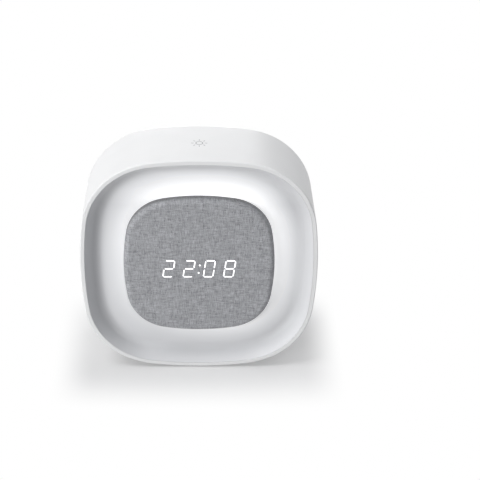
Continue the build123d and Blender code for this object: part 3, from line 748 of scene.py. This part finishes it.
class Sketch:
    """Flat mark made of strokes and rings, drawn on the XY plane and given a thickness."""

    round_steps: int = 24

    def __init__(self, width: float) -> None:
        """Start an empty mark with one width of line."""
        self.width = width
        self.shape = bmesh.new()

    def stroke(self, start: Sequence[float], end: Sequence[float]) -> None:
        """Add a line with round ends.

        Args:
            start: Point that the line starts at.
            end: Point that the line ends at.
        """
        run = Vector(end) - Vector(start)
        made = bmesh.ops.create_circle(
            self.shape, cap_ends=True, segments=self.round_steps, radius=self.width / 2
        )["verts"]
        far = [v for v in made if v.co.xy.dot(run) > 0]
        bmesh.ops.translate(self.shape, verts=far, vec=run.to_3d())
        bmesh.ops.translate(self.shape, verts=made, vec=Vector(start).to_3d())

    def dot(self, centre: Sequence[float], radius: float) -> None:
        """Add a filled spot."""
        place = Matrix.Translation(Vector(centre).to_3d())
        bmesh.ops.create_circle(
            self.shape, cap_ends=True, segments=self.round_steps, radius=radius, matrix=place
        )

    def ring(self, centre: Sequence[float], radius: float) -> None:
        """Add a circle of one line's width.

        Args:
            centre: Middle of the circle.
            radius: Radius of the middle of the line.
        """
        place = Matrix.Translation(Vector(centre).to_3d())
        edges = []
        for reach in (radius - self.width / 2, radius + self.width / 2):
            verts = bmesh.ops.create_circle(
                self.shape, segments=2 * self.round_steps, radius=reach, matrix=place
            )["verts"]
            edges += list({e for v in verts for e in v.link_edges})
        bmesh.ops.bridge_loops(self.shape, edges=edges)

    def thickened(self, below: float, above: float) -> bmesh.types.BMesh:
        """The mark as a thin plate from below its plane to above it.

        Args:
            below: How far it reaches under the plane.
            above: How far it stands over the plane.

        Returns:
            The mark's mesh, with its faces pointing out.
        """
        bmesh.ops.translate(self.shape, verts=self.shape.verts, vec=(0, 0, -below))
        made = bmesh.ops.extrude_face_region(self.shape, geom=self.shape.faces[:])["geom"]
        raised = [g for g in made if isinstance(g, bmesh.types.BMVert)]
        bmesh.ops.translate(self.shape, verts=raised, vec=(0, 0, below + above))
        bmesh.ops.recalc_face_normals(self.shape, faces=self.shape.faces)
        return self.shape


@dataclass
class TimeDisplay:
    """Lit digits and colon that shine through the cloth."""

    text: str = "2208"
    height: float = 8.7 * MM
    width: float = 4.5 * MM
    pitch: float = 9.56 * MM
    slant: float = math.radians(8.0)
    drop: float = 0.72 * MM
    line: float = 0.52 * MM
    joint_gap: float = 0.25 * MM
    middle_gap: float = 0.22 * MM
    colon_radius: float = 0.41 * MM
    colon_spread: float = 4.1 * MM
    colon_drop: float = 0.17 * MM
    proud: float = 0.04 * MM
    sunk: float = 0.08 * MM
    lit: Mapping[str, tuple[Segment, ...]] = field(default_factory=lambda: {
        "0": tuple(s for s in Segment if s is not Segment.MIDDLE),
        "2": (Segment.TOP, Segment.UPPER_RIGHT, Segment.MIDDLE, Segment.LOWER_LEFT, Segment.BOTTOM),
        "8": tuple(Segment),
    })

    def ends(self, segment: Segment) -> tuple[Vector, Vector]:
        """Find the corner points that a segment runs between.

        Args:
            segment: Stroke of the digit.

        Returns:
            The start and the end, from the middle of the digit.
        """
        side, top = self.width / 2, self.height / 2
        level = {Segment.TOP: top, Segment.MIDDLE: 0.0, Segment.BOTTOM: -top}.get(segment)
        if level is not None:
            return Vector((-side, level)), Vector((side, level))
        across = side if "right" in segment.value else -side
        low, high = (self.middle_gap, top) if "upper" in segment.value else (-top, -self.middle_gap)
        return Vector((across, low)), Vector((across, high))

    def add_segment(self, shape: bmesh.types.BMesh, start: Vector, end: Vector, middle: float) -> None:
        """Add one pointed bar of a digit.

        Args:
            shape: Mesh that takes the bar, on the XY plane.
            start: Corner that the bar starts at.
            end: Corner that the bar ends at.
            middle: Place of its digit along X.
        """
        along = (end - start).normalized()
        across = along.orthogonal() * self.line / 2
        first, last = start + along * self.joint_gap, end - along * self.joint_gap
        shoulder = along * self.line / 2
        corners = (
            first, first + shoulder + across, last - shoulder + across,
            last, last - shoulder - across, first + shoulder - across,
        )
        lean = math.tan(self.slant)
        verts = [shape.verts.new((middle + c.x + c.y * lean, c.y, 0)) for c in corners]
        shape.faces.new(verts)

    def build(self, finish: Finish) -> bpy.types.Object:
        """Set the lit time on the face of the cloth.

        Args:
            finish: Shining finish of the segments.

        Returns:
            The digits as one piece.
        """
        sketch = Sketch(self.line)
        for place, digit in enumerate(self.text):
            middle = (place - (len(self.text) - 1) / 2) * self.pitch
            for segment in self.lit[digit]:
                self.add_segment(sketch.shape, *self.ends(segment), middle)
        for level in (-self.colon_spread / 2, self.colon_spread / 2):
            sketch.dot((level * math.tan(self.slant), level - self.colon_drop), self.colon_radius)
        shape = sketch.thickened(self.sunk, self.proud)
        low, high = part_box("fabric_cover")
        origin = Vector(((low.x + high.x) / 2, low.y, (low.z + high.z) / 2 - self.drop))
        stand = Matrix.Translation(origin) @ Matrix.Rotation(math.pi / 2, 4, "X")
        bmesh.ops.transform(shape, matrix=stand, verts=shape.verts)
        return add_piece("lit_digits", shape, finish)


@dataclass
class TouchMark:
    """Printed sun on the top of the shell, over the touch pad."""

    line: float = 0.45 * MM
    disc_radius: float = 1.6 * MM
    ray_start: float = 2.85 * MM
    ray_end: float = 3.6 * MM
    rays: int = 8
    top_radius: float = 189.0 * MM
    below: float = 0.03 * MM
    above: float = 0.02 * MM

    def build(self, finish: Finish) -> bpy.types.Object:
        """Print the mark on the curved top.

        Args:
            finish: Ink of the print.

        Returns:
            The mark.
        """
        sketch = Sketch(self.line)
        sketch.ring((0, 0), self.disc_radius)
        for number in range(self.rays):
            angle = math.tau * number / self.rays
            ray = Vector((math.cos(angle), math.sin(angle)))
            sketch.stroke(ray * self.ray_start, ray * self.ray_end)
        shape = sketch.thickened(self.below, self.above)
        middle, size = box_size("outer_shell")
        top = middle.z + size.z / 2
        for vertex in shape.verts:
            sag = self.top_radius - math.sqrt(self.top_radius**2 - vertex.co.x**2)
            vertex.co += Vector((middle.x, middle.y, top - sag))
        return add_piece("touch_mark", shape, finish)


@dataclass
class RearMarks:
    """Printed signs under the keys and the power inlet."""

    line: float = 0.36 * MM
    reach: float = 1.05 * MM
    rise: float = 0.5 * MM
    drop: float = 1.45 * MM
    bar_pitch: float = 0.75 * MM
    dial: float = 0.85 * MM
    long_hand: float = 0.55
    short_hand: float = 0.45
    ear_top: tuple[float, float] = (0.75, 1.35)
    ear_side: tuple[float, float] = (1.3, 0.85)
    key_width: float = 8.1 * MM
    inlet_drop: float = 2.2 * MM
    inlet_reach: float = 1.5 * MM
    dash_pitch: float = 1.2 * MM
    dash_half: float = 0.3 * MM
    below: float = 0.03 * MM
    above: float = 0.02 * MM

    def chevron(self, sketch: Sketch, up: int) -> None:
        """Draw an arrow head.

        Args:
            sketch: Sketch that takes the strokes.
            up: One to point up, minus one to point down.
        """
        tip = (0, up * self.rise)
        for side in (-self.reach, self.reach):
            sketch.stroke((side, -up * self.rise), tip)

    def bars(self, sketch: Sketch) -> None:
        """Draw the three bars of a menu.

        Args:
            sketch: Sketch that takes the strokes.
        """
        for height in (-self.bar_pitch, 0, self.bar_pitch):
            sketch.stroke((-self.reach, height), (self.reach, height))

    def alarm(self, sketch: Sketch) -> None:
        """Draw a dial with hands and two ears.

        Args:
            sketch: Sketch that takes the strokes.
        """
        sketch.ring((0, 0), self.dial)
        sketch.stroke((0, 0), (0, self.dial * self.long_hand))
        sketch.stroke((0, 0), (self.dial * self.short_hand, 0))
        top, lower = Vector(self.ear_top) * self.dial, Vector(self.ear_side) * self.dial
        for side in (-1, 1):
            sketch.stroke((side * top.x, top.y), (side * lower.x, lower.y))

    def direct_current(self, sketch: Sketch) -> None:
        """Draw the sign for direct current, a bar over three dashes.

        Args:
            sketch: Sketch that takes the strokes.
        """
        sketch.stroke((-self.inlet_reach, self.rise / 2), (self.inlet_reach, self.rise / 2))
        for middle in (-self.dash_pitch, 0, self.dash_pitch):
            sketch.stroke((middle - self.dash_half, -self.rise), (middle + self.dash_half, -self.rise))

    def place(self, name: str, sketch: Sketch, node: str, drop: float, finish: Finish) -> bpy.types.Object:
        """Print a drawn sign on the rear cover below a piece.

        Args:
            name: Name of the mark.
            sketch: The drawn sign, seen from behind.
            node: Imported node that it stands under.
            drop: Distance below that node.
            finish: Ink of the print.

        Returns:
            The mark.
        """
        low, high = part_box(node)
        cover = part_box("rear_cover")[1].y
        shape = sketch.thickened(self.below, self.above)
        origin = Vector(((low.x + high.x) / 2, cover, low.z - drop))
        turn = Matrix.Rotation(math.pi, 4, "Z") @ Matrix.Rotation(math.pi / 2, 4, "X")
        bmesh.ops.transform(shape, matrix=Matrix.Translation(origin) @ turn, verts=shape.verts)
        return add_piece(name, shape, finish)

    def build(self, finish: Finish) -> None:
        """Print every sign.

        Args:
            finish: Ink of the print.
        """
        flange = (box_size("up_button")[1].x - self.key_width) / 2
        signs = (
            ("up_mark", "up_button", lambda sketch: self.chevron(sketch, 1)),
            ("down_mark", "down_button", lambda sketch: self.chevron(sketch, -1)),
            ("menu_mark", "menu_button", self.bars),
            ("alarm_mark", "alarm_button", self.alarm),
        )
        for name, node, draw in signs:
            sketch = Sketch(self.line)
            draw(sketch)
            self.place(name, sketch, node, self.drop - flange, finish)
        sketch = Sketch(self.line)
        self.direct_current(sketch)
        self.place("inlet_mark", sketch, "usb_socket", self.inlet_drop, finish)


@dataclass
class PowerInlet:
    """Gilt contacts on the tongue of the power inlet."""

    contacts: int = 12
    pitch: float = 0.5 * MM
    width: float = 0.26 * MM
    length: float = 3.4 * MM
    thickness: float = 0.06 * MM
    tongue: float = 0.7 * MM
    tip_gap: float = 1.4 * MM
    edge: float = 0.02 * MM

    def build(self, finish: Finish) -> bpy.types.Object:
        """Lay both rows of contacts on the tongue.

        Args:
            finish: Plating of the contacts.

        Returns:
            The contacts as one piece.
        """
        middle, size = box_size("usb_socket")
        depth = middle.y + size.y / 2 - self.tip_gap - self.length / 2
        shape = bmesh.new()
        for side in (-1, 1):
            for number in range(self.contacts):
                across = middle.x + (number - (self.contacts - 1) / 2) * self.pitch
                height = middle.z + side * self.tongue / 2
                place = Matrix.Translation((across, depth, height))
                scale = Matrix.Diagonal((self.width, self.length, self.thickness, 1))
                bmesh.ops.create_cube(shape, size=1.0, matrix=place @ scale)
        bmesh.ops.bevel(
            shape, geom=shape.edges[:], offset=self.edge, affect="EDGES", segments=1, profile=0.5, material=-1
        )
        return add_piece("inlet_contacts", shape, finish)


class PackedPieces:
    """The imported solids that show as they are, with finer finishes."""

    def dress(self, palette: Palette) -> None:
        """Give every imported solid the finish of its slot.

        Args:
            palette: Finishes by slot name.
        """
        for name, node in frame["nodes"].items():
            for holder in node.material_slots:
                slot = holder.material.name.split(".")[0]
                holder.material = palette.slots[slot].material()
                LOG.info("%s: packed solid in %s", name, slot)


@dataclass
class SoftBox:
    """Flat lamp that faces the clock, square unless a height is given."""

    name: str
    direction: tuple[float, float, float]
    level: float
    distance: float = 2.2
    size: float = 1.5
    height: float | None = None

    def build(self, target: Vector) -> None:
        """Hang the lamp.

        Args:
            target: Point that it faces.
        """
        lamp = bpy.data.lights.new(self.name, "AREA")
        lamp.shape = "RECTANGLE"
        lamp.size = self.size
        lamp.size_y = self.height or self.size
        lamp.energy = self.level * (math.pi * self.distance) ** 2
        holder = bpy.data.objects.new(self.name, lamp)
        heading = Vector(self.direction).normalized()
        holder.location = target + heading * self.distance
        holder.rotation_euler = heading.to_track_quat("Z", "Y").to_euler()
        holder.visible_camera = False
        bpy.context.scene.collection.objects.link(holder)


@dataclass
class Studio:
    """White floor that runs out of sight, soft lamps and an even sky."""

    floor_size: float = 12.0
    floor_white: float = 0.6
    floor_lift: float = 0.24
    shadow_sides: tuple[float, float] = (50 * MM, 72 * MM)
    shadow_front: tuple[float, float] = (22 * MM, 55 * MM)
    bounce: float = 0.5
    sky: tuple[float, float, float] = (0.232, 0.236, 0.248)

    def build(self, target: Vector) -> None:
        """Lay the floor, light the sky and hang the lamps.

        Args:
            target: Point that the lamps face.
        """
        self._lay_floor()
        self._light_sky()
        for lamp in (
            SoftBox("left_lamp", (-0.69, -0.71, 0.15), level=0.635, distance=1.7, size=0.8),
            SoftBox("top_lamp", (0.42, 0.2, 0.885), level=0.2),
            SoftBox("front_lamp", (-0.42, -0.19, 0.885), level=0.38, size=1.0),
            SoftBox("rear_lamp", (0.0, 0.997, 0.08), level=0.42, size=0.8, height=0.4),
        ):
            lamp.build(target)

    def _lay_floor(self) -> None:
        """Lay a floor that keeps the clock's shadow near it and turns plain white beyond set distances, which paints
        out the shadow there.
        """
        shape = bmesh.new()
        bmesh.ops.create_grid(shape, x_segments=1, y_segments=1, size=self.floor_size / 2)
        mesh = bpy.data.meshes.new("studio_floor")
        shape.to_mesh(mesh)
        shape.free()
        paper = bpy.data.materials.new("studio_paper")
        paper.use_nodes = True
        graph = Graph(paper.node_tree)
        shadow = graph.node("ShaderNodeBsdfDiffuse", {}, {"Color": grey(self.floor_white)})
        lift = graph.node("ShaderNodeEmission", {}, {"Color": WHITE, "Strength": self.floor_lift})
        near = graph.node("ShaderNodeAddShader", {}, {0: shadow, 1: lift})
        white = graph.node("ShaderNodeEmission", {}, {"Color": WHITE, "Strength": 1.0})
        # Painted light: beyond the set distances beside and in front of the clock the floor is plain white, painting
        # out the shadow that falls there.
        across, depth, _ = graph.axes(graph.place())
        beside, before = abs(across).eased(*self.shadow_sides), abs(depth).eased(*self.shadow_front)
        shown = graph.blend(beside + before - beside * before, near, white)
        bounce = graph.node("ShaderNodeBsdfDiffuse", {}, {"Color": grey(self.bounce)})
        graph.end("ShaderNodeOutputMaterial", graph.blend(graph.seen_directly(), bounce, shown))
        mesh.materials.append(paper)
        floor = bpy.data.objects.new("studio_floor", mesh)
        bpy.context.scene.collection.objects.link(floor)

    def _light_sky(self) -> None:
        """Light the world evenly, and show it white."""
        world = bpy.data.worlds.new("studio_sky")
        world.use_nodes = True
        bpy.context.scene.world = world
        graph = Graph(world.node_tree)
        dim = graph.node("ShaderNodeBackground", {}, {"Color": self.sky + (1.0,), "Strength": 1.0})
        white = graph.node("ShaderNodeBackground", {}, {"Color": WHITE, "Strength": 1.0})
        graph.end("ShaderNodeOutputWorld", graph.blend(graph.seen_directly(), dim, white))


@dataclass
class PhotoCamera:
    """Long lens above the clock, which stands left of and below the middle of the frame."""

    elevation: float = math.radians(30.46)
    distance: float = 652.3 * MM
    focal_pixels: float = 1381.5
    frame_pixels: float = 480.0
    sensor: float = 36.0
    target_pixel: tuple[float, float] = (199.25, 267.83)

    def build(self) -> Vector:
        """Set the camera up.

        Returns:
            The point of the clock that the camera was placed by.
        """
        low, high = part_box("outer_shell")
        target = Vector(((low.x + high.x) / 2, low.y, (low.z + high.z) / 2))
        lens = bpy.data.cameras.new("photo_camera")
        lens.sensor_width = self.sensor
        lens.lens = self.sensor * self.focal_pixels / self.frame_pixels
        camera = bpy.data.objects.new("photo_camera", lens)
        back = Vector((0, -math.cos(self.elevation), math.sin(self.elevation)))
        camera.location = target + back * self.distance
        right = self.target_pixel[0] - self.frame_pixels / 2
        down = self.target_pixel[1] - self.frame_pixels / 2
        seen = Vector((right, -down, -self.focal_pixels))
        aside = seen.rotation_difference(Vector((0, 0, -1)))
        camera.rotation_mode = "QUATERNION"
        camera.rotation_quaternion = (-back).to_track_quat("-Z", "Y") @ aside
        bpy.context.scene.collection.objects.link(camera)
        bpy.context.scene.camera = camera
        return target


def main() -> None:
    """Build and dress the clock piece by piece, then light and frame it."""
    logging.basicConfig(level=logging.INFO, format="%(name)s %(message)s")
    bpy.context.scene.view_settings.view_transform = "Standard"
    centre, size = box_size("fabric_cover")
    palette = Palette(centre.z, centre.y - size.y / 2)
    PackedPieces().dress(palette)
    ClothCover().build(palette.cloth)
    TimeDisplay().build(palette.lit)
    TouchMark().build(palette.ink)
    RearMarks().build(palette.ink)
    PowerInlet().build(palette.gold)
    target = PhotoCamera().build()
    Studio().build(target)


if __name__ == "__main__":
    main()
